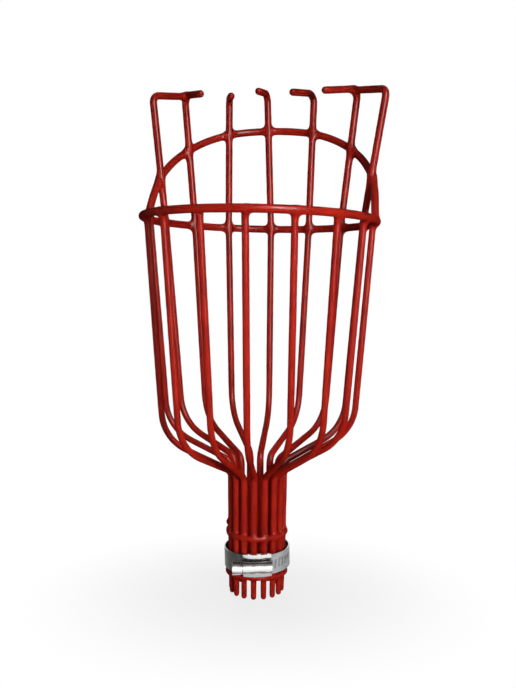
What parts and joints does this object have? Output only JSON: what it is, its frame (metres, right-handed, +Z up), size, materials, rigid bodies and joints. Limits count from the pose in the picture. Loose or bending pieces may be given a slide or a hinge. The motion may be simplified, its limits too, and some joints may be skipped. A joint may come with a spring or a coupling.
{
  "type": "fruit collector",
  "caption": "Fruit picking basket head of coated welded wire with hooked fingers above a round mouth and a wire socket held to a pole by a worm-drive hose clamp.",
  "frame": {"origin": "centre of the pole socket, level with the middle of the lower tips of the socket wires", "axes": "+Z up the socket's axis to the fingers, -Y towards the open front of the mouth, +X to the viewer's right"},
  "size_m": [0.1568, 0.1583, 0.3332],
  "materials": {
    "coat": "gloss",
    "clamp_strip": "satin",
    "clamp_plate": "bright",
    "clamp_screw": "bright"
  },
  "bodies": {
    "basket": {"finger_wire_1": "coat", "finger_wire_2": "coat", "finger_wire_3": "coat", "finger_wire_4": "coat", "finger_wire_5": "coat", "finger_wire_6": "coat", "finger_wire_7": "coat", "rib_wire_1": "coat", "rib_wire_2": "coat", "rib_wire_3": "coat", "rib_wire_4": "coat", "rib_wire_5": "coat", "rib_wire_6": "coat", "rib_wire_7": "coat", "rib_wire_8": "coat", "rib_wire_9": "coat", "mouth_ring": "coat", "back_arch": "coat", "upper_collar_ring": "coat", "lower_collar_ring": "coat"},
    "clamp": {"clamp_band": "clamp_strip", "clamp_housing": "clamp_plate"},
    "clamp_screw": {"clamp_screw": "clamp_screw"}
  },
  "joints": [
    {"name": "clamp_swivel", "type": "hinge", "parent": "basket", "child": "clamp", "pos_m": [0, 0, 0.0239], "axis": [-0.0251, -0.0771, 0.9967], "continuous": true},
    {"name": "screw_turn", "type": "hinge", "parent": "clamp", "child": "clamp_screw", "pos_m": [0.0032, -0.02417, 0.02211], "axis": [0.9911, 0.1287, 0.0349], "range_deg": [0, 900]}
  ]
}
